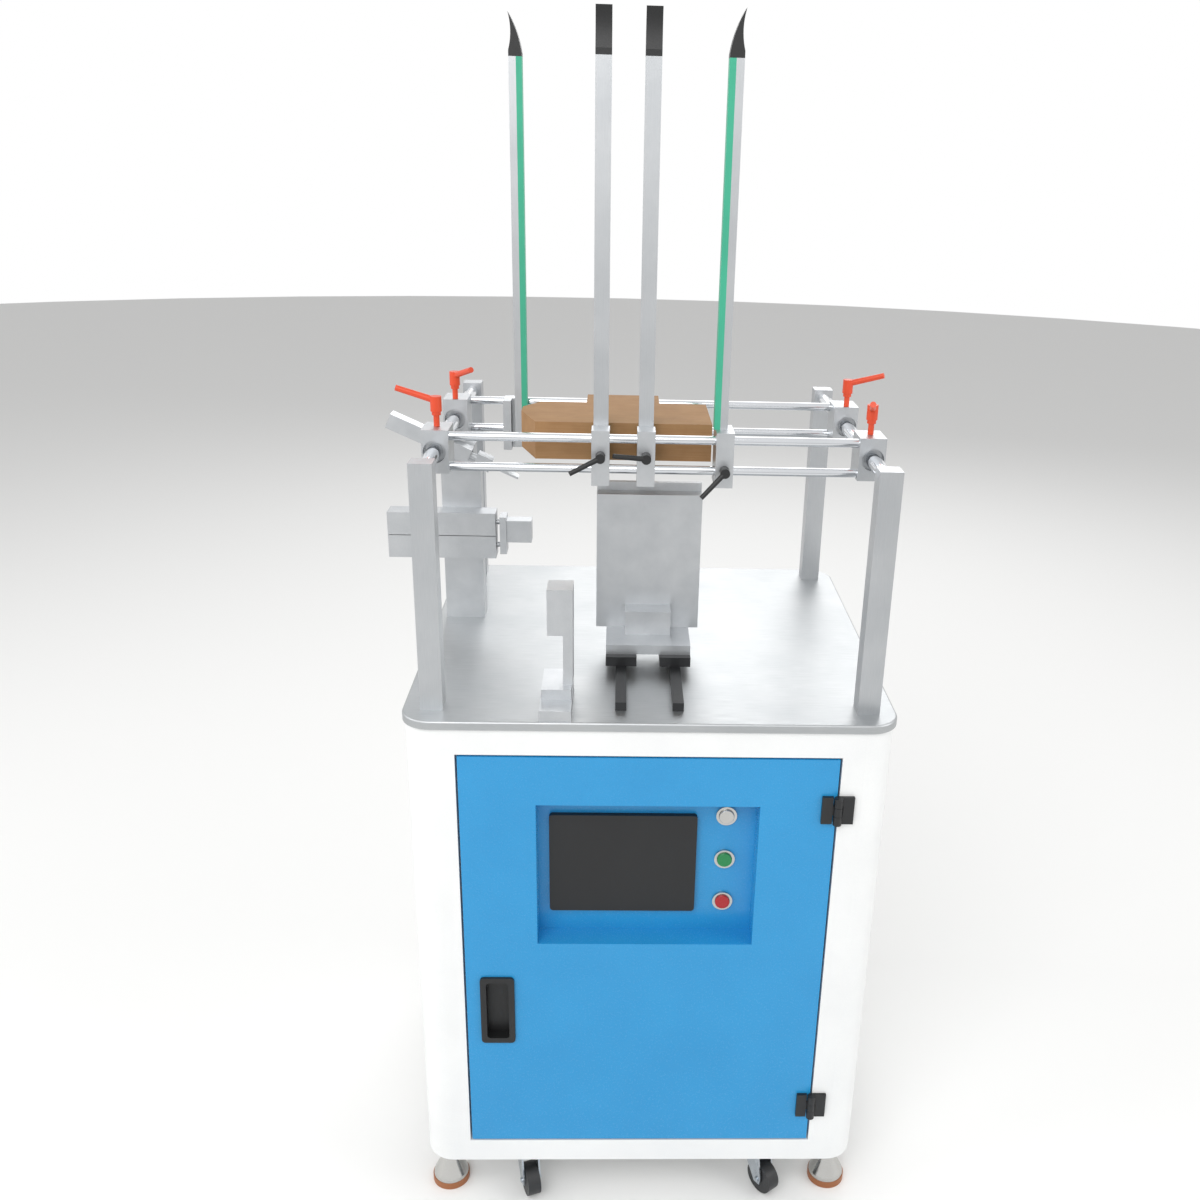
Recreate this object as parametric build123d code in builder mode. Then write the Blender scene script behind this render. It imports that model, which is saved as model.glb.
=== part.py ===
from build123d import *
import math
import os

os.makedirs("parts", exist_ok=True)

# Box folding machine: a wheeled cabinet with a table, a blank magazine on a rod frame,
# a forming station in the middle and air-driven pushers at the left.
# Millimetres. +Z is up, +X is to the right seen from the front, +Y goes to the back.
# The origin is on the floor under the centre of the cabinet.

# Cabinet and table
table_width = 664.0
table_depth = 636.0
table_thickness = 12.0
table_top_z = 834.0
table_overhang = 3.0
corner_radius = 42.0
sheet = 2.0
cabinet_bottom_z = 85.0
door_width = 510.5
door_height = 655.0
door_left_x = -257.0
door_bottom_z = 126.5
door_thickness = 18.0
door_gap = 3.0
door_seal_gap = 1.5
stop_lip = 10.0

# Operating panel in the door
recess_width = 304.0
recess_height = 224.5
recess_left_x = -154.0
recess_bottom_z = 484.5
recess_depth = 38.0
screen_width = 206.0
screen_height = 156.0
screen_left_x = -138.0
screen_bottom_z = 520.0
screen_proud = 8.0
screen_body_depth = 34.0
button_x = 108.5
button_pitch = 70.0
button_low_z = 534.0
button_bezel_radius = 14.5
button_cap_radius = 10.5
button_travel = 3.0
button_clearance = 0.3

# Hinges and handle
hinge_height = 41.0
hinge_width = 44.0
hinge_centres_z = (194.5, 706.5)
hinge_knuckle_radius = 6.0
hinge_leaf_thickness = 5.0
hinge_pin_radius = 2.5
pin_clearance = 0.05
handle_width = 49.0
handle_height = 114.5
handle_left_x = -237.0
handle_bottom_z = 312.5
handle_proud = 4.0
handle_pocket_depth = 15.0

# Feet and casters
foot_x = 300.0
foot_y = 264.0
foot_pad_radius = 28.5
foot_pad_height = 11.0
foot_cone_top_z = 56.0
foot_neck_radius = 11.0
foot_stud_radius = 6.0
caster_x = 180.0
caster_y = 272.0
caster_wheel_radius = 25.0
caster_wheel_width = 20.0
caster_wheel_z = 28.0
caster_trail = 25.0
caster_axle_radius = 4.0
caster_fork_gap = 1.5
caster_fork_sheet = 2.5
caster_cup_radius = 21.0
caster_cup_height = 9.0
caster_plate_size = 58.0
caster_plate_thickness = 3.0
caster_turns = {"front_left": 290.0, "front_right": 307.0, "back_left": 75.0, "back_right": 110.0}

# Rod frame above the table
post_size = 30.0
post_top_z = 1168.0
post_side_inset = 25.0
post_front_inset = 34.0
post_back_inset = 25.0
shaft_radius = 10.0
shaft_z = 1154.0
rod_radius = 6.0
rod_spacing = 41.0
block_width = 36.0
block_depth = 52.0
block_height = 58.0
block_mouth_radius = 15.0
block_mouth_depth = 10.0
front_block_y = -164.0
back_block_y = 97.0
block_centre_x = 291.0
rod_inset = 9.0
rod_socket = 12.0
fit_clearance = 0.1

# Corner clamp levers
lever_stud_radius = 4.0
lever_stud_height = 20.0
lever_bush_radius = 6.0
lever_hub_radius = 7.5
lever_hub_height = 20.0
lever_arm_length = 52.0
lever_arm_rise = 16.0
lever_directions = {"front_left": 180.0, "front_right": 258.0, "back_left": 305.0, "back_right": 339.0}

# Magazine guides
guide_face = 20.0
guide_thickness = 10.0
strip_thickness = 8.0
guide_bottom_z = 1112.0
guide_top_z = 1637.0
left_guide_top_z = 1645.0
tip_height = 54.0
guide_plane_y = -138.0
middle_guides_x = (-72.5, -12.0)
right_guide_x = 96.5
left_guide_x = -204.0
side_guide_y = -150.0
left_guide_y = 58.0
clamp_width = 24.0
clamp_bottom_z = 1114.0
clamp_top_z = 1188.0
clamp_front = 17.0

# Blanks in the magazine
blank_bottom_z = 1137.0
blank_top_z = 1188.0
blank_layer = 5.1
blank_layer_count = 10
blank_gap = 0.4

# Forming station
rail_x = (-41.0, 36.0)
rail_width = 15.0
rail_height = 12.0
rail_front_y = -279.0
rail_back_y = -10.0
slider_width = 44.0
slider_front_y = -158.0
slider_back_y = -84.0
carriage_left_x = -63.0
carriage_right_x = 58.0
carriage_bottom_z = 860.0
carriage_thickness = 14.0
carriage_front_y = -147.0
carriage_back_y = -60.0
plate_left_x = -78.5
plate_right_x = 72.0
plate_front_y = -75.0
plate_thickness = 8.0
plate_top_z = 1052.0
head_top_z = 1077.0
head_depth = 30.0

# Air-driven pushers at the left
stand_left_x = -318.0
stand_width = 60.0
stand_front_y = 57.0
stand_base_height = 44.0
stand_depth = 30.0
stand_top_z = 1078.0
cylinder_left_x = -397.0
cylinder_length = 163.0
cylinder_depth = 34.0
cylinder_height = 36.0
cylinder_bottom_z = 944.0
pusher_travel = 40.0
hook_tilt = 24.0
hook_travel = 30.0
hook_start_x = -386.0
hook_start_z = 1156.0
hook_y = 28.0
hook_body_depth = 26.0
stand_head_width = 44.0
stand_head_height = 34.0

cabinet_width = table_width - 2 * table_overhang
cabinet_depth = table_depth - 2 * table_overhang
cabinet_top_z = table_top_z - table_thickness
cabinet_height = cabinet_top_z - cabinet_bottom_z
front_y = -cabinet_depth / 2
side_flat_x = cabinet_width / 2 - corner_radius
door_centre_x = door_left_x + door_width / 2
door_centre_z = door_bottom_z + door_height / 2

# Cabinet floor pan, inside the walls
with BuildPart() as cabinet_floor:
    with BuildSketch(Plane.XY.offset(cabinet_bottom_z)):
        RectangleRounded(cabinet_width - 2 * sheet, cabinet_depth - 2 * sheet, corner_radius - sheet)
    extrude(amount=sheet)
cabinet_floor.part.label = "cabinet_floor"
export_step(cabinet_floor.part, "parts/cabinet_floor.step")

# Side walls bent round at both corners
with BuildPart() as cabinet_sides:
    with BuildSketch(Plane.XY.offset(cabinet_bottom_z)):
        RectangleRounded(cabinet_width, cabinet_depth, corner_radius)
        RectangleRounded(cabinet_width - 2 * sheet, cabinet_depth - 2 * sheet, corner_radius - sheet,
                         mode=Mode.SUBTRACT)
        Rectangle(2 * side_flat_x, cabinet_depth, mode=Mode.SUBTRACT)
    extrude(amount=cabinet_height)
cabinet_sides.part.label = "cabinet_sides"
export_step(cabinet_sides.part, "parts/cabinet_sides.step")

# Flat back panel
with BuildPart() as cabinet_back_panel:
    with BuildSketch(Plane.XY.offset(cabinet_bottom_z)):
        with Locations((0, cabinet_depth / 2 - sheet / 2)):
            Rectangle(2 * side_flat_x, sheet)
    extrude(amount=cabinet_height)
cabinet_back_panel.part.label = "cabinet_back_panel"
export_step(cabinet_back_panel.part, "parts/cabinet_back_panel.step")

# Front frame with the doorway, its folded return and the stop lip that the door closes on
opening_width = door_width + 2 * door_gap
opening_height = door_height + 2 * door_gap
front_plane = Plane(origin=(0, front_y, 0), x_dir=(1, 0, 0), z_dir=(0, -1, 0))
jamb_depth = door_thickness + door_seal_gap + sheet
with BuildPart() as cabinet_front_frame:
    with BuildSketch(front_plane):
        with Locations((0, (cabinet_bottom_z + cabinet_top_z) / 2)):
            Rectangle(2 * side_flat_x, cabinet_height)
        with Locations((door_centre_x, door_centre_z)):
            Rectangle(opening_width, opening_height, mode=Mode.SUBTRACT)
    extrude(amount=-sheet)
    with BuildSketch(front_plane):
        with Locations((door_centre_x, door_centre_z)):
            Rectangle(opening_width + 2 * sheet, opening_height + 2 * sheet)
            Rectangle(opening_width, opening_height, mode=Mode.SUBTRACT)
    extrude(amount=-jamb_depth)
    with BuildSketch(front_plane.offset(-jamb_depth)):
        with Locations((door_centre_x, door_centre_z)):
            Rectangle(opening_width + 2 * sheet, opening_height + 2 * sheet)
            Rectangle(opening_width - 2 * stop_lip, opening_height - 2 * stop_lip, mode=Mode.SUBTRACT)
    extrude(amount=sheet)
cabinet_front_frame.part.label = "cabinet_front_frame"
export_step(cabinet_front_frame.part, "parts/cabinet_front_frame.step")

# Table plate with its upper edge rounded over
with BuildPart() as table_plate:
    with BuildSketch(Plane.XY.offset(cabinet_top_z)):
        RectangleRounded(table_width, table_depth, corner_radius)
    extrude(amount=table_thickness)
    fillet(table_plate.faces().sort_by(Axis.Z)[-1].edges(), radius=3)
table_plate.part.label = "table_plate"
export_step(table_plate.part, "parts/table_plate.step")

# Door tray: skin with folded edges, a pocket for the operating panel and one for the handle
recess_centre_x = recess_left_x + recess_width / 2
recess_centre_z = recess_bottom_z + recess_height / 2
handle_centre_x = handle_left_x + handle_width / 2
handle_centre_z = handle_bottom_z + handle_height / 2
handle_hole_width = handle_width - 8
handle_hole_height = handle_height - 8
screen_centre_x = screen_left_x + screen_width / 2
screen_centre_z = screen_bottom_z + screen_height / 2
screen_hole_width = screen_width - 14
screen_hole_height = screen_height - 14
button_barrel_radius = button_cap_radius + 1.2
button_centres_z = [button_low_z + i * button_pitch for i in range(3)]
with BuildPart() as door_panel:
    with BuildSketch(front_plane):
        with Locations((door_centre_x, door_centre_z)):
            Rectangle(door_width, door_height)
    extrude(amount=-door_thickness)
    with BuildSketch(front_plane.offset(-sheet)):
        with Locations((door_centre_x, door_centre_z)):
            Rectangle(door_width - 2 * sheet, door_height - 2 * sheet)
    extrude(amount=sheet - door_thickness, mode=Mode.SUBTRACT)
    with BuildSketch(front_plane):
        with Locations((recess_centre_x, recess_centre_z)):
            Rectangle(recess_width + 2 * sheet, recess_height + 2 * sheet)
    extrude(amount=-recess_depth - sheet)
    with BuildSketch(front_plane):
        with Locations((recess_centre_x, recess_centre_z)):
            Rectangle(recess_width, recess_height)
    extrude(amount=-recess_depth, mode=Mode.SUBTRACT)
    with BuildSketch(front_plane):
        with Locations((handle_centre_x, handle_centre_z)):
            Rectangle(handle_hole_width, handle_hole_height)
        with Locations((screen_centre_x, screen_centre_z)):
            Rectangle(screen_hole_width, screen_hole_height)
        with Locations([(button_x, z) for z in button_centres_z]):
            Circle(button_barrel_radius + fit_clearance)
    extrude(amount=-recess_depth - 2 * sheet, mode=Mode.SUBTRACT)
door_panel.part.label = "door_panel"
export_step(door_panel.part, "parts/door_panel.step")

# Recessed pull handle
with BuildPart() as door_handle:
    with BuildSketch(front_plane):
        with Locations((handle_centre_x, handle_centre_z)):
            RectangleRounded(handle_width, handle_height, 6)
    extrude(amount=handle_proud)
    with BuildSketch(front_plane):
        with Locations((handle_centre_x, handle_centre_z)):
            Rectangle(handle_hole_width - 1, handle_hole_height - 1)
    extrude(amount=-handle_pocket_depth)
    with BuildSketch(front_plane.offset(handle_proud)):
        with Locations((handle_centre_x, handle_centre_z)):
            RectangleRounded(handle_hole_width - 9, handle_hole_height - 9, 5)
    extrude(amount=-handle_proud - handle_pocket_depth + 2, mode=Mode.SUBTRACT)
door_handle.part.label = "door_handle"
export_step(door_handle.part, "parts/door_handle.step")

# Touch screen, set in the pocket's back wall
pocket_plane = front_plane.offset(-recess_depth)
with BuildPart() as touch_screen:
    with BuildSketch(pocket_plane):
        with Locations((screen_centre_x, screen_centre_z)):
            RectangleRounded(screen_width, screen_height, 5)
    extrude(amount=screen_proud)
    with BuildSketch(pocket_plane):
        with Locations((screen_centre_x, screen_centre_z)):
            Rectangle(screen_hole_width - 1, screen_hole_height - 1)
    extrude(amount=-screen_body_depth)
touch_screen.part.label = "touch_screen"
export_step(touch_screen.part, "parts/touch_screen.step")

# Button bezels with their barrels through the pocket's back wall
bezel_height = 4.0
barrel_length = 42.0
with BuildPart() as button_bezels:
    with BuildSketch(pocket_plane):
        with Locations([(button_x, z) for z in button_centres_z]):
            Circle(button_bezel_radius)
    extrude(amount=bezel_height)
    with BuildSketch(pocket_plane):
        with Locations([(button_x, z) for z in button_centres_z]):
            Circle(button_barrel_radius)
    extrude(amount=-barrel_length)
    with BuildSketch(pocket_plane.offset(bezel_height)):
        with Locations([(button_x, z) for z in button_centres_z]):
            Circle(button_cap_radius + button_clearance)
    extrude(amount=-bezel_height - 8, mode=Mode.SUBTRACT)
button_bezels.part.label = "button_bezels"
export_step(button_bezels.part, "parts/button_bezels.step")

# Push button caps, lowest first
cap_proud = 3.2
for cap_name, cap_z in zip(("stop_button", "start_button", "power_button"), button_centres_z):
    with BuildPart() as cap:
        with BuildSketch(pocket_plane.offset(bezel_height + cap_proud)):
            with Locations((button_x, cap_z)):
                Circle(button_cap_radius)
        extrude(amount=-cap_proud - bezel_height - 8 + button_travel + button_clearance)
        fillet(cap.faces().sort_by(Axis.Y)[0].edges(), radius=1)
    cap.part.label = cap_name
    export_step(cap.part, f"parts/{cap_name}.step")

# Hinges: the door half carries the middle knuckle, the frame half the two outer ones and the pin
hinge_x = door_left_x + door_width + door_gap / 2
hinge_y = front_y - hinge_knuckle_radius
knuckle_height = hinge_height / 3
leaf_reach = hinge_width / 2
knuckle_clear = hinge_knuckle_radius + 1
with BuildPart() as hinge_door_halves:
    for z in hinge_centres_z:
        with BuildSketch(front_plane):
            with Locations((hinge_x - (leaf_reach + knuckle_clear) / 2, z)):
                Rectangle(leaf_reach - knuckle_clear, hinge_height)
        extrude(amount=hinge_leaf_thickness)
        with BuildSketch(front_plane):
            with Locations((hinge_x - knuckle_clear / 2, z)):
                Rectangle(knuckle_clear, knuckle_height - 1)
        extrude(amount=hinge_leaf_thickness)
        with BuildSketch(Plane.XY.offset(z - knuckle_height / 2 + 0.5)):
            with Locations((hinge_x, hinge_y)):
                Circle(hinge_knuckle_radius)
        extrude(amount=knuckle_height - 1)
        with BuildSketch(Plane.XY.offset(z - knuckle_height / 2 + 0.5)):
            with Locations((hinge_x, hinge_y)):
                Circle(hinge_pin_radius + pin_clearance)
        extrude(amount=knuckle_height - 1, mode=Mode.SUBTRACT)
hinge_door_halves.part.label = "hinge_door_halves"
export_step(hinge_door_halves.part, "parts/hinge_door_halves.step")

with BuildPart() as hinge_frame_halves:
    for z in hinge_centres_z:
        with BuildSketch(front_plane):
            with Locations((hinge_x + (leaf_reach + knuckle_clear) / 2, z)):
                Rectangle(leaf_reach - knuckle_clear, hinge_height)
            with Locations((hinge_x + knuckle_clear / 2, z - knuckle_height),
                           (hinge_x + knuckle_clear / 2, z + knuckle_height)):
                Rectangle(knuckle_clear, knuckle_height)
        extrude(amount=hinge_leaf_thickness)
        for side in (-1, 1):
            with BuildSketch(Plane.XY.offset(z + side * knuckle_height - knuckle_height / 2)):
                with Locations((hinge_x, hinge_y)):
                    Circle(hinge_knuckle_radius)
            extrude(amount=knuckle_height)
        with BuildSketch(Plane.XY.offset(z - hinge_height / 2)):
            with Locations((hinge_x, hinge_y)):
                Circle(hinge_pin_radius)
        extrude(amount=hinge_height)
hinge_frame_halves.part.label = "hinge_frame_halves"
export_step(hinge_frame_halves.part, "parts/hinge_frame_halves.step")

# Levelling feet: steel cones on studs, standing in rubber pads
foot_places = [(sx * foot_x, sy * foot_y) for sx in (-1, 1) for sy in (-1, 1)]
with BuildPart() as foot_pads:
    with BuildSketch(Plane.XY):
        with Locations(foot_places):
            Circle(foot_pad_radius)
    extrude(amount=foot_pad_height)
foot_pads.part.label = "foot_pads"
export_step(foot_pads.part, "parts/foot_pads.step")

with BuildPart() as levelling_feet:
    with BuildSketch(Plane.XZ) as foot_profile:
        with BuildLine():
            Polyline((0, foot_pad_height), (foot_pad_radius - 1, foot_pad_height),
                     (foot_pad_radius - 2, foot_pad_height + 5), (foot_neck_radius, foot_cone_top_z - 8),
                     (foot_neck_radius, foot_cone_top_z), (foot_stud_radius, foot_cone_top_z),
                     (foot_stud_radius, cabinet_bottom_z), (0, cabinet_bottom_z), close=True)
        make_face()
    with Locations([(x, y, 0) for x, y in foot_places]):
        add(revolve(foot_profile.sketch, axis=Axis.Z, mode=Mode.PRIVATE))
levelling_feet.part.label = "levelling_feet"
export_step(levelling_feet.part, "parts/levelling_feet.step")

# Caster plates and bearing cups under the cabinet
caster_places = {
    "front_left": (-caster_x, -caster_y), "front_right": (caster_x, -caster_y),
    "back_left": (-caster_x, caster_y), "back_right": (caster_x, caster_y),
}
cup_bottom_z = cabinet_bottom_z - caster_plate_thickness - caster_cup_height
with BuildPart() as caster_plates:
    with BuildSketch(Plane.XY.offset(cabinet_bottom_z - caster_plate_thickness)):
        with Locations(list(caster_places.values())):
            RectangleRounded(caster_plate_size, caster_plate_size, 6)
    extrude(amount=caster_plate_thickness)
    with BuildSketch(Plane.XY.offset(cup_bottom_z)):
        with Locations(list(caster_places.values())):
            Circle(caster_cup_radius)
    extrude(amount=caster_cup_height)
caster_plates.part.label = "caster_plates"
export_step(caster_plates.part, "parts/caster_plates.step")

# Swivel forks with their brake pedals, and the wheels on their axles
fork_top_z = cup_bottom_z - 0.3
fork_half = caster_wheel_width / 2 + caster_fork_gap
for place, (cx, cy) in caster_places.items():
    heading = math.radians(caster_turns[place])
    trail = Vector(math.cos(heading), math.sin(heading), 0)
    swivel = Plane(origin=(cx, cy, 0), x_dir=trail, z_dir=(0, 0, 1))
    side = Plane(origin=(cx, cy, 0), x_dir=trail, z_dir=trail.cross(Vector(0, 0, 1)))
    with BuildPart() as fork:
        with BuildSketch(swivel.offset(fork_top_z - caster_fork_sheet)):
            Circle(caster_cup_radius - 1)
            with Locations((caster_trail / 2, 0)):
                Rectangle(caster_trail, 2 * fork_half + 2 * caster_fork_sheet)
        extrude(amount=caster_fork_sheet)
        for cheek_start in (fork_half, -fork_half - caster_fork_sheet):
            with BuildSketch(side.offset(cheek_start)):
                with BuildLine():
                    Polyline((-12, fork_top_z), (caster_trail, fork_top_z),
                             (caster_trail + 8, caster_wheel_z + 6), (caster_trail + 6, caster_wheel_z - 7),
                             (caster_trail - 6, caster_wheel_z - 7), close=True)
                make_face()
            extrude(amount=caster_fork_sheet)
        with BuildSketch(side.offset(-fork_half - caster_fork_sheet - 2)):
            with Locations((caster_trail, caster_wheel_z)):
                Circle(caster_axle_radius)
        extrude(amount=2 * fork_half + 2 * caster_fork_sheet + 4)
    fork.part.label = f"caster_fork_{place}"
    export_step(fork.part, f"parts/caster_fork_{place}.step")
    with BuildPart() as wheel:
        with BuildSketch(side.offset(-caster_wheel_width / 2)):
            with Locations((caster_trail, caster_wheel_z)):
                Circle(caster_wheel_radius)
                Circle(caster_axle_radius + pin_clearance, mode=Mode.SUBTRACT)
        extrude(amount=caster_wheel_width)
    wheel.part.label = f"caster_wheel_{place}"
    export_step(wheel.part, f"parts/caster_wheel_{place}.step")

# Four posts on the table
post_x = table_width / 2 - post_side_inset - post_size / 2
front_post_y = -table_depth / 2 + post_front_inset + post_size / 2
back_post_y = table_depth / 2 - post_back_inset - post_size / 2
with BuildPart() as frame_posts:
    with BuildSketch(Plane.XY.offset(table_top_z)):
        with Locations((-post_x, front_post_y), (post_x, front_post_y), (-post_x, back_post_y), (post_x, back_post_y)):
            Rectangle(post_size, post_size)
    extrude(amount=post_top_z - table_top_z)
frame_posts.part.label = "frame_posts"
export_step(frame_posts.part, "parts/frame_posts.step")

# Side shafts between the posts, and the cross rods between the corner blocks
shaft_start_y = front_post_y + post_size / 2
shaft_end_y = back_post_y - post_size / 2
front_rod_y = front_block_y + rod_inset
back_rod_y = back_block_y - rod_inset
rod_zs = (shaft_z - rod_spacing / 2, shaft_z + rod_spacing / 2)
block_inner_x = block_centre_x - block_width / 2
rod_end_x = block_inner_x + rod_socket
with BuildPart() as frame_rods:
    with BuildSketch(Plane.XZ.offset(-shaft_start_y)):
        with Locations((-post_x, shaft_z), (post_x, shaft_z)):
            Circle(shaft_radius)
    extrude(amount=shaft_start_y - shaft_end_y)
    with BuildSketch(Plane.YZ.offset(-rod_end_x)):
        with Locations([(y, z) for y in (front_rod_y, back_rod_y) for z in rod_zs]):
            Circle(rod_radius)
    extrude(amount=2 * rod_end_x)
frame_rods.part.label = "frame_rods"
export_step(frame_rods.part, "parts/frame_rods.step")

# Corner blocks: bored for the side shaft, counterbored towards the front, socketed for the rods
block_places = {
    "front_left": (-1, front_block_y, front_rod_y), "front_right": (1, front_block_y, front_rod_y),
    "back_left": (-1, back_block_y - block_depth, back_rod_y),
    "back_right": (1, back_block_y - block_depth, back_rod_y),
}
with BuildPart() as corner_blocks:
    for side_sign, block_y, rod_y in block_places.values():
        with BuildSketch(Plane.XZ.offset(-block_y)):
            with Locations((side_sign * block_centre_x, shaft_z)):
                Rectangle(block_width, block_height)
            with Locations((side_sign * post_x, shaft_z)):
                Circle(shaft_radius + fit_clearance, mode=Mode.SUBTRACT)
        extrude(amount=-block_depth)
        with BuildSketch(Plane.XZ.offset(-block_y)):
            with Locations((side_sign * post_x, shaft_z)):
                Circle(block_mouth_radius)
        extrude(amount=-block_mouth_depth, mode=Mode.SUBTRACT)
        with BuildSketch(Plane.YZ.offset(side_sign * block_inner_x)):
            with Locations([(rod_y, z) for z in rod_zs]):
                Circle(rod_radius + fit_clearance)
        extrude(amount=side_sign * (rod_socket + fit_clearance), mode=Mode.SUBTRACT)
corner_blocks.part.label = "corner_blocks"
export_step(corner_blocks.part, "parts/corner_blocks.step")

# Corner clamp levers, standing on the blocks
block_top_z = shaft_z + block_height / 2
lever_base_z = block_top_z + 0.3
hub_bottom_z = lever_base_z + lever_stud_height
hub_top_z = hub_bottom_z + lever_hub_height
lever_places = {
    "front_left": (-block_centre_x, front_block_y + block_depth / 2),
    "front_right": (block_centre_x, front_block_y + block_depth / 2),
    "back_left": (-block_centre_x, back_block_y - block_depth / 2 - 20),
    "back_right": (block_centre_x, back_block_y - block_depth / 2 - 20),
}
for place, (lx, ly) in lever_places.items():
    aim = math.radians(lever_directions[place])
    arm_start = Vector(lx, ly, hub_top_z - 6)
    arm_end = arm_start + Vector(lever_arm_length * math.cos(aim), lever_arm_length * math.sin(aim), lever_arm_rise)
    with BuildPart() as lever:
        with BuildSketch(Plane(origin=(lx, ly, lever_base_z))):
            Circle(lever_stud_radius)
        extrude(amount=lever_stud_height)
        with BuildSketch(Plane(origin=(lx, ly, hub_bottom_z - 5))):
            Circle(lever_bush_radius)
        extrude(amount=5)
        with BuildSketch(Plane(origin=(lx, ly, hub_bottom_z))):
            Circle(lever_hub_radius)
        extrude(amount=lever_hub_height)
        with BuildSketch(Plane(origin=arm_start, z_dir=arm_end - arm_start)):
            Circle(4.5)
        with BuildSketch(Plane(origin=arm_end, z_dir=arm_end - arm_start)):
            Circle(4.0)
        loft()
    lever.part.label = f"corner_lever_{place}"
    export_step(lever.part, f"parts/corner_lever_{place}.step")

# Guide rails, wear strips, lead-in tips and clamps of the magazine
middle_back_y = guide_plane_y + guide_thickness
clamp_front_y = front_rod_y - clamp_front
with BuildPart() as guide_rails:
    with BuildSketch(Plane.XY.offset(guide_bottom_z)):
        with Locations([(x, guide_plane_y + guide_thickness / 2) for x in middle_guides_x]):
            Rectangle(guide_face, guide_thickness)
    extrude(amount=guide_top_z - guide_bottom_z)
    with BuildSketch(Plane.XY.offset(clamp_top_z)):
        with Locations((right_guide_x - guide_thickness / 2, side_guide_y + guide_face / 2)):
            Rectangle(guide_thickness, guide_face)
    extrude(amount=guide_top_z - clamp_top_z)
    with BuildSketch(Plane.XY.offset(guide_bottom_z)):
        with Locations((left_guide_x + guide_thickness / 2, left_guide_y + guide_face / 2)):
            Rectangle(guide_thickness, guide_face)
    extrude(amount=left_guide_top_z - guide_bottom_z)
guide_rails.part.label = "guide_rails"
export_step(guide_rails.part, "parts/guide_rails.step")

with BuildPart() as guide_strips:
    with BuildSketch(Plane.XY.offset(guide_bottom_z)):
        with Locations([(x, middle_back_y + strip_thickness / 2) for x in middle_guides_x]):
            Rectangle(guide_face / 2, strip_thickness)
    extrude(amount=guide_top_z - guide_bottom_z)
    with BuildSketch(Plane.XY.offset(clamp_top_z)):
        with Locations((right_guide_x - guide_thickness - strip_thickness / 2, side_guide_y + guide_face / 2)):
            Rectangle(strip_thickness, guide_face)
    extrude(amount=guide_top_z - clamp_top_z)
    with BuildSketch(Plane.XY.offset(guide_bottom_z)):
        with Locations((left_guide_x + guide_thickness + strip_thickness / 2, left_guide_y + guide_face / 2)):
            Rectangle(strip_thickness, guide_face)
    extrude(amount=left_guide_top_z - guide_bottom_z)
guide_strips.part.label = "guide_strips"
export_step(guide_strips.part, "parts/guide_strips.step")

# Lead-in tips: curved horns that lean away from the stack of blanks
tip_depth = guide_thickness + strip_thickness


def tip_outline(height, depth):
    """Draw a horn: foot depth at the bottom, bending outwards (-x) to a point at the top."""
    Polyline((0, 0), (depth, 0), (depth, 4))
    Spline((depth, 4), (depth * 0.78, height * 0.42), (0, height))
    Spline((0, height), (depth * 0.18, height * 0.5), (0, height * 0.14))
    Line((0, height * 0.14), (0, 0))


with BuildPart() as guide_tips:
    for x in middle_guides_x:
        with BuildSketch(Plane(origin=(x - guide_face / 2, guide_plane_y, guide_top_z), x_dir=(0, 1, 0),
                               z_dir=(1, 0, 0))):
            with BuildLine():
                tip_outline(tip_height, tip_depth)
            make_face()
        extrude(amount=guide_face)
    with BuildSketch(Plane(origin=(right_guide_x, side_guide_y, guide_top_z), x_dir=(-1, 0, 0), z_dir=(0, 1, 0))):
        with BuildLine():
            tip_outline(tip_height, tip_depth)
        make_face()
    extrude(amount=guide_face)
    with BuildSketch(Plane(origin=(left_guide_x, left_guide_y + guide_face, left_guide_top_z), x_dir=(1, 0, 0),
                           z_dir=(0, -1, 0))):
        with BuildLine():
            tip_outline(tip_height, tip_depth)
        make_face()
    extrude(amount=guide_face)
guide_tips.part.label = "guide_tips"
export_step(guide_tips.part, "parts/guide_tips.step")

right_clamp_x = right_guide_x - guide_thickness / 2 + 1
left_clamp_x = left_guide_x - 6
with BuildPart() as guide_clamps:
    for x in (*middle_guides_x, right_clamp_x):
        with BuildSketch(Plane.XY.offset(clamp_bottom_z)):
            with Locations((x, (clamp_front_y + guide_plane_y) / 2)):
                Rectangle(clamp_width, guide_plane_y - clamp_front_y)
        extrude(amount=clamp_top_z - clamp_bottom_z)
    with BuildSketch(Plane.XY.offset(clamp_bottom_z)):
        with Locations((right_clamp_x, (guide_plane_y + side_guide_y + guide_face + 12) / 2)):
            Rectangle(clamp_width, side_guide_y + guide_face + 12 - guide_plane_y)
    extrude(amount=clamp_top_z - clamp_bottom_z)
    with BuildSketch(Plane.XY.offset(clamp_bottom_z - 8)):
        with Locations((left_clamp_x - 6, left_guide_y + 22)):
            Rectangle(12, 44)
        with Locations((left_guide_x - 1, left_guide_y + guide_face + 12)):
            Rectangle(22, 24)
    extrude(amount=clamp_top_z - clamp_bottom_z)
    with BuildSketch(Plane.YZ.offset(-rod_end_x)):
        with Locations([(y, z) for y in (front_rod_y, back_rod_y) for z in rod_zs]):
            Circle(rod_radius + fit_clearance)
    extrude(amount=2 * rod_end_x, mode=Mode.SUBTRACT)
guide_clamps.part.label = "guide_clamps"
export_step(guide_clamps.part, "parts/guide_clamps.step")

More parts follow.
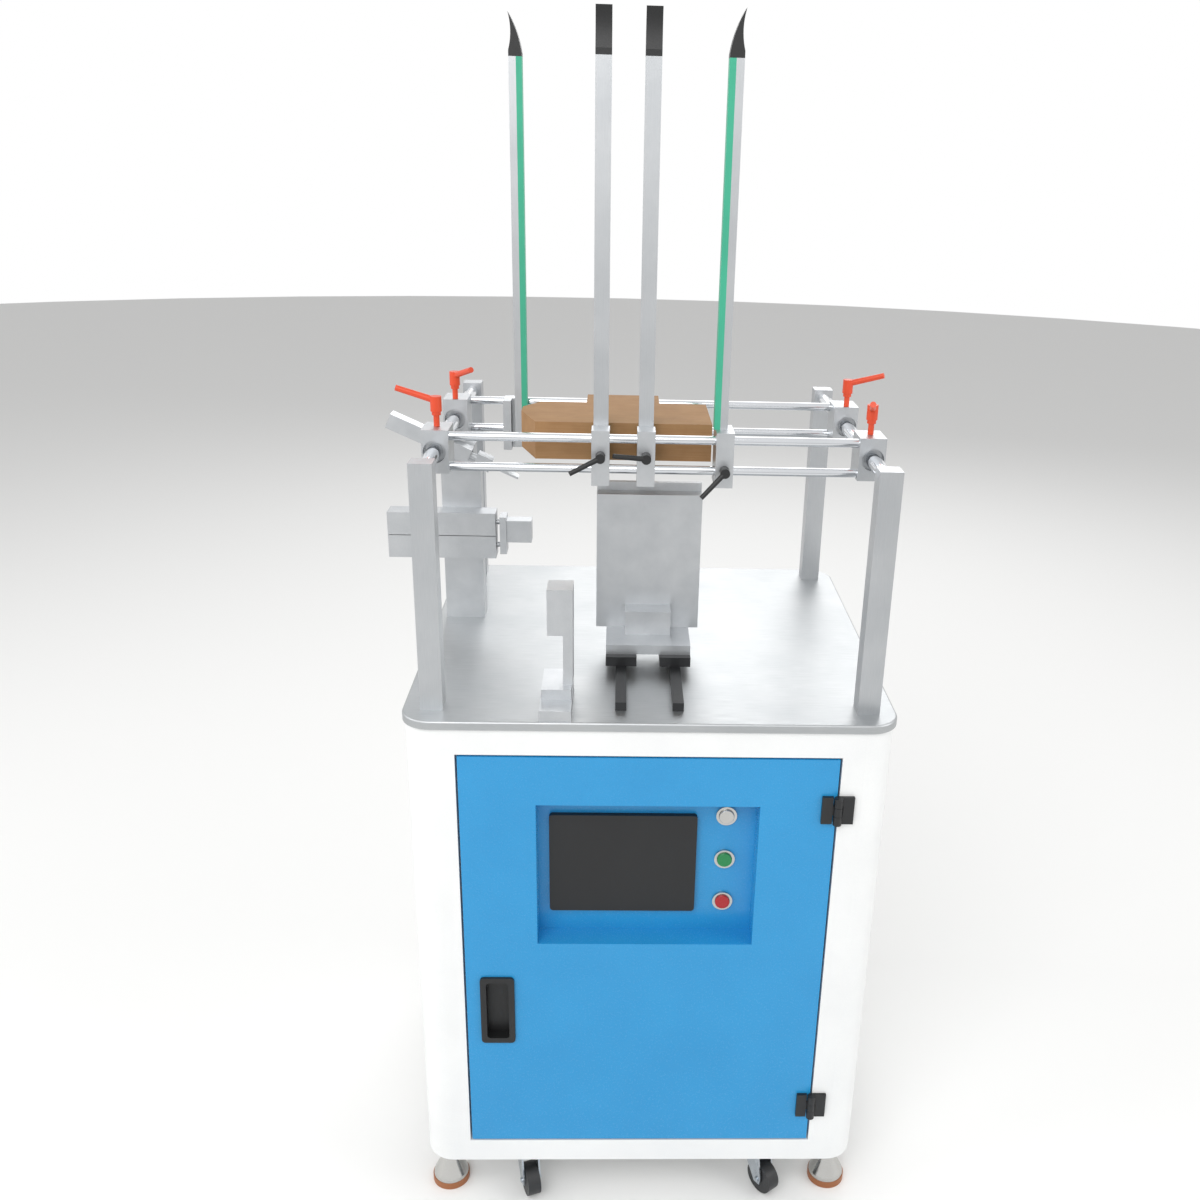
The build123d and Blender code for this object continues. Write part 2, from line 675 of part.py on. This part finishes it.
# Black clamp levers on the fronts of the front clamps
guide_lever_places = {
    "left": (middle_guides_x[0], 1155.0, 205.0), "middle": (middle_guides_x[1], 1155.0, 172.0),
    "right": (right_clamp_x, 1138.0, 225.0),
}
for place, (lx, lz, direction) in guide_lever_places.items():
    aim = math.radians(direction)
    face = Plane(origin=(lx, clamp_front_y - 0.3, lz), x_dir=(1, 0, 0), z_dir=(0, -1, 0))
    arm_start = Vector(lx, clamp_front_y - 14, lz)
    arm_end = arm_start + Vector(44 * math.cos(aim), -12, 44 * math.sin(aim))
    with BuildPart() as lever:
        with BuildSketch(face):
            Circle(6.5)
        extrude(amount=18)
        with BuildSketch(Plane(origin=arm_start, z_dir=arm_end - arm_start)):
            Circle(3.6)
        with BuildSketch(Plane(origin=arm_end, z_dir=arm_end - arm_start)):
            Circle(3.2)
        loft()
    lever.part.label = f"guide_lever_{place}"
    export_step(lever.part, f"parts/guide_lever_{place}.step")

# Stack of folded blanks held between the guides
stack_left_x = left_guide_x + tip_depth + 0.3
stack_right_x = right_guide_x - tip_depth - 0.3
stack_front_y = middle_back_y + strip_thickness + 0.3
stack_back_y = 80.0
with BuildPart() as blank_stack:
    with BuildSketch(Plane.XY.offset(blank_bottom_z)):
        with BuildLine():
            Polyline((stack_left_x, stack_front_y + 70), (stack_left_x + 24, stack_front_y),
                     (stack_right_x, stack_front_y), (stack_right_x, 20), (10, 20),
                     (10, stack_back_y), (-96, stack_back_y), (-96, 20), (stack_left_x + 24, 20),
                     (stack_left_x, -20), close=True)
        make_face()
    extrude(amount=blank_top_z - blank_bottom_z)
blank_stack.part.label = "blank_stack"
export_step(blank_stack.part, "parts/blank_stack.step")

# Forming station: rails and sliders
with BuildPart() as linear_rails:
    with BuildSketch(Plane.XY.offset(table_top_z)):
        with Locations([(x, (rail_front_y + rail_back_y) / 2) for x in rail_x]):
            Rectangle(rail_width, rail_back_y - rail_front_y)
    extrude(amount=rail_height)
    with BuildSketch(Plane.XY.offset(table_top_z + rail_height)):
        with Locations([(x, (slider_front_y + slider_back_y) / 2) for x in rail_x]):
            Rectangle(slider_width, slider_back_y - slider_front_y)
    extrude(amount=carriage_bottom_z - table_top_z - rail_height)
linear_rails.part.label = "linear_rails"
export_step(linear_rails.part, "parts/linear_rails.step")

with BuildPart() as carriage_plate:
    with BuildSketch(Plane.XY.offset(carriage_bottom_z)):
        with Locations(((carriage_left_x + carriage_right_x) / 2, (carriage_front_y + carriage_back_y) / 2)):
            Rectangle(carriage_right_x - carriage_left_x, carriage_back_y - carriage_front_y)
    extrude(amount=carriage_thickness)
carriage_plate.part.label = "carriage_plate"
export_step(carriage_plate.part, "parts/carriage_plate.step")

carriage_top_z = carriage_bottom_z + carriage_thickness
plate_centre_x = (plate_left_x + plate_right_x) / 2
plate_width = plate_right_x - plate_left_x
with BuildPart() as forming_plate:
    with BuildSketch(Plane.XZ.offset(-plate_front_y)):
        with Locations((plate_centre_x, (carriage_top_z + plate_top_z) / 2)):
            Rectangle(plate_width, plate_top_z - carriage_top_z)
    extrude(amount=-plate_thickness)
forming_plate.part.label = "forming_plate"
export_step(forming_plate.part, "parts/forming_plate.step")

with BuildPart() as forming_head:
    with BuildSketch(Plane.YZ.offset(plate_left_x)):
        with BuildLine():
            Polyline((plate_front_y - 3, plate_top_z), (plate_front_y + head_depth, plate_top_z),
                     (plate_front_y + head_depth, head_top_z + 12), (plate_front_y + head_depth - 8, head_top_z + 12),
                     (plate_front_y + head_depth - 8, head_top_z), (plate_front_y - 3, head_top_z), close=True)
        make_face()
    extrude(amount=plate_width)
forming_head.part.label = "forming_head"
export_step(forming_head.part, "parts/forming_head.step")

with BuildPart() as lift_cylinder:
    with BuildSketch(Plane.XY.offset(carriage_top_z)):
        with Locations((-3, plate_front_y - 16)):
            Rectangle(66, 32)
    extrude(amount=36)
lift_cylinder.part.label = "lift_cylinder"
export_step(lift_cylinder.part, "parts/lift_cylinder.step")

# Stand at the left: foot, slotted post and the head that carries the tilted cylinder
stand_centre_x = stand_left_x + stand_width / 2
hook_back_y = hook_y + hook_body_depth / 2
stand_back_y = stand_front_y + stand_depth
with BuildPart() as left_stand:
    with BuildSketch(Plane.XY.offset(table_top_z)):
        with Locations((stand_centre_x, stand_front_y + 20)):
            Rectangle(stand_width, 40)
    extrude(amount=stand_base_height)
    with BuildSketch(Plane.XY.offset(table_top_z + stand_base_height)):
        with Locations((stand_centre_x, stand_front_y + stand_depth / 2)):
            Rectangle(stand_width, stand_depth)
    extrude(amount=stand_top_z - table_top_z - stand_base_height)
    with BuildSketch(Plane.XY.offset(stand_top_z)):
        with Locations((stand_centre_x, (hook_back_y + stand_back_y) / 2)):
            Rectangle(stand_head_width, stand_back_y - hook_back_y)
    extrude(amount=stand_head_height)
left_stand.part.label = "left_stand"
export_step(left_stand.part, "parts/left_stand.step")

# Twin guided cylinders and the pusher that they drive along +X
cylinder_front_y = stand_front_y - cylinder_depth
cylinder_right_x = cylinder_left_x + cylinder_length
with BuildPart() as pusher_cylinders:
    with BuildSketch(Plane.YZ.offset(cylinder_left_x)):
        with Locations((cylinder_front_y + cylinder_depth / 2, cylinder_bottom_z + cylinder_height / 2),
                       (cylinder_front_y + cylinder_depth / 2, cylinder_bottom_z + cylinder_height * 1.5)):
            Rectangle(cylinder_depth, cylinder_height - 1)
            Circle(4 + fit_clearance, mode=Mode.SUBTRACT)
    extrude(amount=cylinder_length)
pusher_cylinders.part.label = "pusher_cylinders"
export_step(pusher_cylinders.part, "parts/pusher_cylinders.step")

pusher_plate_x = cylinder_right_x + 6
with BuildPart() as pusher:
    with BuildSketch(Plane.YZ.offset(pusher_plate_x)):
        with Locations((cylinder_front_y + cylinder_depth / 2, cylinder_bottom_z + cylinder_height)):
            Rectangle(cylinder_depth - 4, 2 * cylinder_height - 14)
    extrude(amount=10)
    with BuildSketch(Plane.YZ.offset(pusher_plate_x + 10)):
        with Locations((cylinder_front_y + cylinder_depth / 2, cylinder_bottom_z + cylinder_height + 6)):
            Rectangle(cylinder_depth - 10, 34)
    extrude(amount=38)
    with BuildSketch(Plane.YZ.offset(pusher_plate_x - 70)):
        with Locations((cylinder_front_y + cylinder_depth / 2, cylinder_bottom_z + cylinder_height / 2),
                       (cylinder_front_y + cylinder_depth / 2, cylinder_bottom_z + cylinder_height * 1.5)):
            Circle(4)
    extrude(amount=70)
pusher.part.label = "pusher"
export_step(pusher.part, "parts/pusher.step")

# Tilted cylinder with the hook slide above the stand
hook_aim = Vector(math.cos(math.radians(hook_tilt)), 0, -math.sin(math.radians(hook_tilt)))
hook_plane = Plane(origin=(hook_start_x, hook_y, hook_start_z), x_dir=(0, 1, 0), z_dir=hook_aim)
with BuildPart() as hook_cylinder:
    with BuildSketch(hook_plane):
        Rectangle(hook_body_depth, 22)
        Circle(5 + fit_clearance, mode=Mode.SUBTRACT)
    extrude(amount=128)
hook_cylinder.part.label = "hook_cylinder"
export_step(hook_cylinder.part, "parts/hook_cylinder.step")

with BuildPart() as hook_slide:
    with BuildSketch(hook_plane.offset(60)):
        Circle(5)
    extrude(amount=78)
    with BuildSketch(hook_plane.offset(138)):
        Rectangle(24, 20)
    extrude(amount=24)
    with BuildSketch(hook_plane.offset(162)):
        Rectangle(20, 3)
    extrude(amount=44)
hook_slide.part.label = "hook_slide"
export_step(hook_slide.part, "parts/hook_slide.step")

# Middle fixture: stepped base with an upright bar, and the port block on the bar
bar_x = -112.0
bar_width = 13.0
fixture_y = -245.0
with BuildPart() as fixture_stand:
    with BuildSketch(Plane.XY.offset(table_top_z)):
        with Locations((-127, -262)):
            Rectangle(42, 105)
    extrude(amount=15)
    with BuildSketch(Plane.XY.offset(table_top_z + 15)):
        with Locations((-127, fixture_y)):
            Rectangle(40, 70)
    extrude(amount=15)
    with BuildSketch(Plane.XY.offset(table_top_z + 30)):
        with Locations((bar_x, fixture_y)):
            Rectangle(bar_width, 40)
    extrude(amount=135)
fixture_stand.part.label = "fixture_stand"
export_step(fixture_stand.part, "parts/fixture_stand.step")

port_block_width = 21.0
with BuildPart() as port_block:
    with BuildSketch(Plane.XY.offset(935)):
        with Locations((bar_x - (bar_width + port_block_width) / 2, fixture_y)):
            Rectangle(port_block_width, 40)
    extrude(amount=64)
port_block.part.label = "port_block"
export_step(port_block.part, "parts/port_block.step")
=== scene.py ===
import logging
import math
from dataclasses import dataclass, field
from enum import Enum
from typing import Iterable, Sequence

import bmesh
import bpy
from mathutils import Matrix, Vector

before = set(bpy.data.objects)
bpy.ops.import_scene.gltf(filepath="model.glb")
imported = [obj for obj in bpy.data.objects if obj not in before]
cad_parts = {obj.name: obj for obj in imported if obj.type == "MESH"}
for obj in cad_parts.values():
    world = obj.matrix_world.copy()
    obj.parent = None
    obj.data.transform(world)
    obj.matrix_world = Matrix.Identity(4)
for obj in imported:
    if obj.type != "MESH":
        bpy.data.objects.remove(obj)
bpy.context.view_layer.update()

log = logging.getLogger("box_folding_machine")

MM = 0.001
TURN = 2.0 * math.pi


def linear(hex_colour: str) -> tuple[float, float, float, float]:
    """Turn an sRGB hex colour into the linear RGBA that a shader takes.

    Args:
        hex_colour: The colour as "#rrggbb".

    Returns:
        Red, green, blue and an alpha of 1, all linear.
    """
    channels = [int(hex_colour[i:i + 2], 16) / 255.0 for i in (1, 3, 5)]
    steps = [c / 12.92 if c <= 0.04045 else ((c + 0.055) / 1.055) ** 2.4 for c in channels]
    return (steps[0], steps[1], steps[2], 1.0)


def add_node(material: bpy.types.Material | bpy.types.World | bpy.types.Light, kind: str,
             settings: dict[str, object] | None = None,
             **sockets: object) -> bpy.types.Node:
    """Add one shader node, with its settings and its inputs.

    Args:
        material: The data block whose node tree gets the node.
        kind: The node's type name in Blender.
        settings: Properties of the node itself.
        sockets: Input name, with spaces written as "_", to a value or to the socket that feeds it.

    Returns:
        The new node.
    """
    tree = material.node_tree
    node = tree.nodes.new(kind)
    for name, value in (settings or {}).items():
        setattr(node, name, value)
    for name, value in sockets.items():
        wanted = name.replace("_", " ")
        socket = next(s for s in node.inputs if s.name == wanted and s.enabled)
        if isinstance(value, bpy.types.NodeSocket):
            tree.links.new(value, socket)
        else:
            socket.default_value = value
    return node


class Grain(Enum):
    """How the marks of a finish lie, as the stretch of its pattern along X, Y and Z."""

    EVEN = (1.0, 1.0, 1.0)
    ALONG_X = (0.03, 1.0, 1.0)
    ALONG_Y = (1.0, 0.03, 1.0)
    ALONG_Z = (1.0, 1.0, 0.03)


@dataclass(frozen=True)
class Finish:
    """One surface finish: what the stuff is, how it was made and what the eye sees of it."""

    name: str
    colour: str
    shade: str
    metallic: float = 0.0
    roughness: tuple[float, float] = (0.4, 0.5)
    ior: float = 1.5
    grain: Grain = Grain.EVEN
    grain_mm: float = 1.0
    relief_mm: float = 0.02
    cloud_mm: float = 90.0
    coat: float = 0.0
    transmission: float = 0.0

    def material(self) -> bpy.types.Material:
        """Make the finish's material once, and give the same one again after that."""
        made = bpy.data.materials.get(self.name)
        if made:
            return made
        made = bpy.data.materials.new(self.name)
        made.use_nodes = True
        made.node_tree.nodes.clear()
        place = add_node(made, "ShaderNodeTexCoord").outputs["Object"]
        stretched = add_node(made, "ShaderNodeMapping", Vector=place, Scale=self.grain.value)
        marks = add_node(made, "ShaderNodeTexNoise", Vector=stretched.outputs["Vector"],
                         Scale=1.0 / (self.grain_mm * MM), Detail=3.0, Roughness=0.6)
        clouds = add_node(made, "ShaderNodeTexNoise", Vector=place,
                          Scale=1.0 / (self.cloud_mm * MM), Detail=4.0, Roughness=0.55)
        both = add_node(made, "ShaderNodeMath", {"operation": "MULTIPLY_ADD"})
        made.node_tree.links.new(marks.outputs["Fac"], both.inputs[0])
        made.node_tree.links.new(clouds.outputs["Fac"], both.inputs[2])
        both.inputs[1].default_value = 0.6
        spread = add_node(made, "ShaderNodeMapRange", Value=both.outputs["Value"],
                          From_Min=0.45, From_Max=1.15, To_Min=0.0, To_Max=1.0)
        tint = add_node(made, "ShaderNodeMix", {"data_type": "RGBA"}, Factor=spread.outputs["Result"],
                        A=linear(self.colour), B=linear(self.shade))
        sheen = add_node(made, "ShaderNodeMapRange", Value=marks.outputs["Fac"],
                         From_Min=0.3, From_Max=0.7, To_Min=self.roughness[0], To_Max=self.roughness[1])
        relief = add_node(made, "ShaderNodeBump", Height=marks.outputs["Fac"],
                          Distance=self.relief_mm * MM, Strength=1.0)
        shader = add_node(made, "ShaderNodeBsdfPrincipled", Base_Color=tint.outputs[2],
                          Roughness=sheen.outputs["Result"], Normal=relief.outputs["Normal"],
                          Metallic=self.metallic)
        if not self.metallic:
            shader.inputs["IOR"].default_value = self.ior
        shader.inputs["Coat Weight"].default_value = self.coat
        shader.inputs["Transmission Weight"].default_value = self.transmission
        add_node(made, "ShaderNodeOutputMaterial", Surface=shader.outputs["BSDF"])
        made.diffuse_color = linear(self.colour)
        return made


# Polyester powder coat, sprayed and baked: an even satin white with a fine orange peel
WHITE_POWDER = Finish("white_powder_coat", "#f3f4f3", "#e9eaea", roughness=(0.34, 0.44), grain_mm=1.6,
                      relief_mm=0.03)
# Gloss powder coat in sky blue: brighter reflections than the white, the same fine peel
BLUE_POWDER = Finish("blue_powder_coat", "#2b98d2", "#2690ca", roughness=(0.2, 0.3), grain_mm=2.0,
                     relief_mm=0.03)
# Tooling plate in anodised aluminium: grey, satin, with the faint lines of its milling
TABLE_ALUMINIUM = Finish("milled_anodised_plate", "#b9bbbc", "#aaadaf", metallic=1.0,
                         roughness=(0.38, 0.5), grain=Grain.ALONG_X, grain_mm=1.2, relief_mm=0.01)
# Extruded and clear anodised aluminium: fine draw lines up its length
POST_ALUMINIUM = Finish("extruded_anodised_aluminium", "#c3c5c7", "#b2b5b8", metallic=1.0,
                        roughness=(0.32, 0.44), grain=Grain.ALONG_Z, grain_mm=0.8, relief_mm=0.01)
# Milled and bead blasted aluminium blocks: an even, slightly sparkling grey
BLOCK_ALUMINIUM = Finish("blasted_anodised_aluminium", "#c6c8ca", "#b4b7ba", metallic=1.0,
                         roughness=(0.34, 0.48), grain_mm=0.6, relief_mm=0.015, cloud_mm=30.0)
# Hard chromed and ground steel rod: mirror bright, with hardly a mark
CHROME = Finish("hard_chromed_rod", "#d9dbde", "#cfd2d6", metallic=1.0, roughness=(0.06, 0.12),
                grain_mm=0.8, relief_mm=0.002)
# Turned stainless steel: bright, with the fine rings of the lathe
STEEL = Finish("turned_stainless_steel", "#c9c8c5", "#b6b5b2", metallic=1.0, roughness=(0.16, 0.3),
               grain=Grain.EVEN, grain_mm=0.7, relief_mm=0.006)
# Zinc plated pressed steel: bluish, a little cloudy
ZINC = Finish("zinc_plated_steel", "#c4c9ce", "#a9b0b7", metallic=1.0, roughness=(0.2, 0.36),
              grain_mm=1.2, relief_mm=0.01, cloud_mm=14.0)
# Black oxidised or black anodised metal: dark grey with a dull sheen
BLACK_METAL = Finish("black_oxidised_steel", "#1c1d1f", "#141517", roughness=(0.34, 0.5), grain_mm=0.8,
                     relief_mm=0.015)
# Moulded black nylon: fine eroded texture with a soft sheen
BLACK_NYLON = Finish("moulded_black_nylon", "#191a1b", "#121213", roughness=(0.36, 0.52), grain_mm=0.7,
                     relief_mm=0.03)
# Orange glass-filled nylon: fine eroded texture with a soft sheen
ORANGE_NYLON = Finish("moulded_orange_nylon", "#e2502c", "#d64522", roughness=(0.34, 0.48), grain_mm=0.7,
                      relief_mm=0.03)
# Sea green ultra high molecular weight polyethylene: waxy and dull
GREEN_STRIP = Finish("green_polyethylene_strip", "#3fae8c", "#389f80", roughness=(0.4, 0.52),
                     grain=Grain.ALONG_Z, grain_mm=1.5, relief_mm=0.02)
# Unbleached kraft board: brown with fine fibres
KRAFT = Finish("brown_kraft_board", "#a98258", "#98714a", roughness=(0.7, 0.85), grain=Grain.ALONG_X,
               grain_mm=1.4, relief_mm=0.05, cloud_mm=25.0)
# Cast polyurethane tread: milky brown and slightly soft looking
FOOT_RUBBER = Finish("brown_urethane_pad", "#a5683f", "#935a35", roughness=(0.42, 0.56), grain_mm=1.5,
                     relief_mm=0.03)
# Solid caster wheel in black nylon with a polished tread
WHEEL_NYLON = Finish("dark_caster_nylon", "#2a2b2d", "#1f2022", roughness=(0.4, 0.55), grain_mm=1.0,
                     relief_mm=0.03)
# Gloss black glass in front of the display
SCREEN_GLASS = Finish("gloss_black_glass", "#0d0e10", "#0b0c0d", roughness=(0.05, 0.08), grain_mm=3.0,
                      relief_mm=0.0, coat=0.5)
# Moulded red nylon, as on a stop button
RED_CAP = Finish("moulded_red_nylon", "#b81f25", "#a81a20", roughness=(0.22, 0.34), grain_mm=0.8,
                 relief_mm=0.01)
# Moulded green nylon, as on a start button
GREEN_CAP = Finish("moulded_green_nylon", "#1d8a4c", "#187d43", roughness=(0.22, 0.34), grain_mm=0.8,
                   relief_mm=0.01)

NODE_FINISHES: dict[str, Finish] = {
    "cabinet": WHITE_POWDER, "table_plate": TABLE_ALUMINIUM, "door_panel": BLUE_POWDER,
    "door_handle": BLACK_NYLON, "touch_screen": BLACK_NYLON, "button_bezels": STEEL,
    "stop_button": RED_CAP, "start_button": GREEN_CAP, "power_button": STEEL, "hinge": BLACK_METAL,
    "foot_pads": FOOT_RUBBER, "levelling_feet": STEEL, "caster_plates": ZINC, "caster_fork": ZINC,
    "caster_wheel": WHEEL_NYLON, "frame_posts": POST_ALUMINIUM, "frame_rods": CHROME,
    "corner_blocks": BLOCK_ALUMINIUM, "corner_lever": ORANGE_NYLON, "guide_rails": POST_ALUMINIUM,
    "guide_strips": GREEN_STRIP, "guide_tips": BLACK_NYLON, "guide_clamps": BLOCK_ALUMINIUM,
    "guide_lever": BLACK_NYLON, "blank_stack": KRAFT, "linear_rails": BLACK_METAL,
    "carriage_plate": BLOCK_ALUMINIUM, "forming": BLOCK_ALUMINIUM, "lift_cylinder": BLOCK_ALUMINIUM,
    "left_stand": BLOCK_ALUMINIUM, "pusher": BLOCK_ALUMINIUM, "hook": BLOCK_ALUMINIUM,
    "fixture_stand": BLOCK_ALUMINIUM, "port_block": BLOCK_ALUMINIUM,
}


def dress_nodes() -> None:
    """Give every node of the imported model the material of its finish."""
    for name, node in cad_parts.items():
        match = max((key for key in NODE_FINISHES if name.startswith(key)), key=len)
        node.data.materials.clear()
        node.data.materials.append(NODE_FINISHES[match].material())
        log.info("%s wears %s", name, NODE_FINISHES[match].name)


@dataclass
class Studio:
    """Pale floor and backdrop, soft lamps and the camera at the photograph's place."""

    picture_pixels: float = 1200.0
    focal_pixels: float = 1192.3983
    principal_x: float = 659.9752
    principal_y: float = 625.8645
    sensor_mm: float = 36.0
    camera_place_mm: tuple[float, float, float] = (-46.8047, -1720.7081, 1530.3750)
    yaw: float = 0.0383
    pitch: float = 0.3783
    roll: float = 0.0275
    floor_colour: str = "#f4f4f3"

    def build(self) -> None:
        """Make the floor, the lamps, the world and the camera."""
        self.place_camera()
        self.lay_floor()
        self.hang_lamps()
        self.light_world()

    def place_camera(self) -> None:
        """Set up the camera from its fitted place, turn, focal length and principal point."""
        forward = Vector((math.sin(self.yaw) * math.cos(self.pitch),
                          math.cos(self.yaw) * math.cos(self.pitch), -math.sin(self.pitch)))
        level = Vector((math.cos(self.yaw), -math.sin(self.yaw), 0.0))
        upright = level.cross(forward)
        right = math.cos(self.roll) * level + math.sin(self.roll) * upright
        up = math.cos(self.roll) * upright - math.sin(self.roll) * level
        lens = bpy.data.cameras.new("camera")
        lens.sensor_width = self.sensor_mm
        lens.lens = self.focal_pixels / self.picture_pixels * self.sensor_mm
        lens.shift_x = 0.5 - self.principal_x / self.picture_pixels
        lens.shift_y = self.principal_y / self.picture_pixels - 0.5
        lens.clip_end = 40.0
        camera = bpy.data.objects.new("camera", lens)
        turn = Matrix((right, up, -forward)).transposed().to_4x4()
        camera.matrix_world = Matrix.Translation(Vector(self.camera_place_mm) * MM) @ turn
        bpy.context.scene.collection.objects.link(camera)
        bpy.context.scene.camera = camera

    def lay_floor(self) -> None:
        """Lay one wide plain floor that shows as the pale background to the camera."""
        shape = bmesh.new()
        bmesh.ops.create_circle(shape, cap_ends=True, segments=64, radius=12.0)
        mesh = bpy.data.meshes.new("floor")
        shape.to_mesh(mesh)
        shape.free()
        floor = bpy.data.objects.new("floor", mesh)
        bpy.context.scene.collection.objects.link(floor)
        paint = bpy.data.materials.new("pale_studio_floor")
        paint.use_nodes = True
        paint.node_tree.nodes.clear()
        shader = add_node(paint, "ShaderNodeBsdfPrincipled", Base_Color=linear(self.floor_colour),
                          Roughness=0.9)
        add_node(paint, "ShaderNodeOutputMaterial", Surface=shader.outputs["BSDF"])
        mesh.materials.append(paint)

    def hang_lamps(self) -> None:
        """Hang the soft boxes: a broad one over the front, fill from both sides and the back."""
        lamps = (
            ("front_soft_box", (-1.2, -3.4, 3.6), 3.0, 95.0),
            ("right_soft_box", (3.4, -1.2, 2.4), 2.6, 45.0),
            ("left_soft_box", (-3.4, -0.6, 2.4), 2.6, 40.0),
            ("back_soft_box", (0.6, 3.4, 3.2), 2.6, 45.0),
        )
        for name, place, size, watts in lamps:
            light = bpy.data.lights.new(name, "AREA")
            light.size = size
            light.energy = watts
            lamp = bpy.data.objects.new(name, light)
            lamp.location = place
            aim = Vector((0.0, 0.0, 0.9)) - Vector(place)
            lamp.rotation_euler = aim.to_track_quat("-Z", "Y").to_euler()
            bpy.context.scene.collection.objects.link(lamp)

    def light_world(self) -> None:
        """Light everything softly from all round, with a white background for the camera."""
        world = bpy.data.worlds.new("studio_world")
        bpy.context.scene.world = world
        world.use_nodes = True
        world.node_tree.nodes.clear()
        rays = add_node(world, "ShaderNodeLightPath")
        seen = add_node(world, "ShaderNodeMath", {"operation": "MAXIMUM"})
        world.node_tree.links.new(rays.outputs["Is Camera Ray"], seen.inputs[0])
        world.node_tree.links.new(rays.outputs["Is Glossy Ray"], seen.inputs[1])
        strength = add_node(world, "ShaderNodeMapRange", Value=seen.outputs["Value"],
                            From_Min=0.0, From_Max=1.0, To_Min=0.55, To_Max=1.0)
        glow = add_node(world, "ShaderNodeBackground", Color=(1.0, 1.0, 1.0, 1.0),
                        Strength=strength.outputs["Result"])
        add_node(world, "ShaderNodeOutputWorld", Surface=glow.outputs["Background"])


def main() -> None:
    """Build the studio and dress the machine, piece by piece."""
    logging.basicConfig(level=logging.INFO)
    bpy.context.scene.view_settings.view_transform = "Standard"
    Studio().build()
    dress_nodes()


if __name__ == "__main__":
    main()
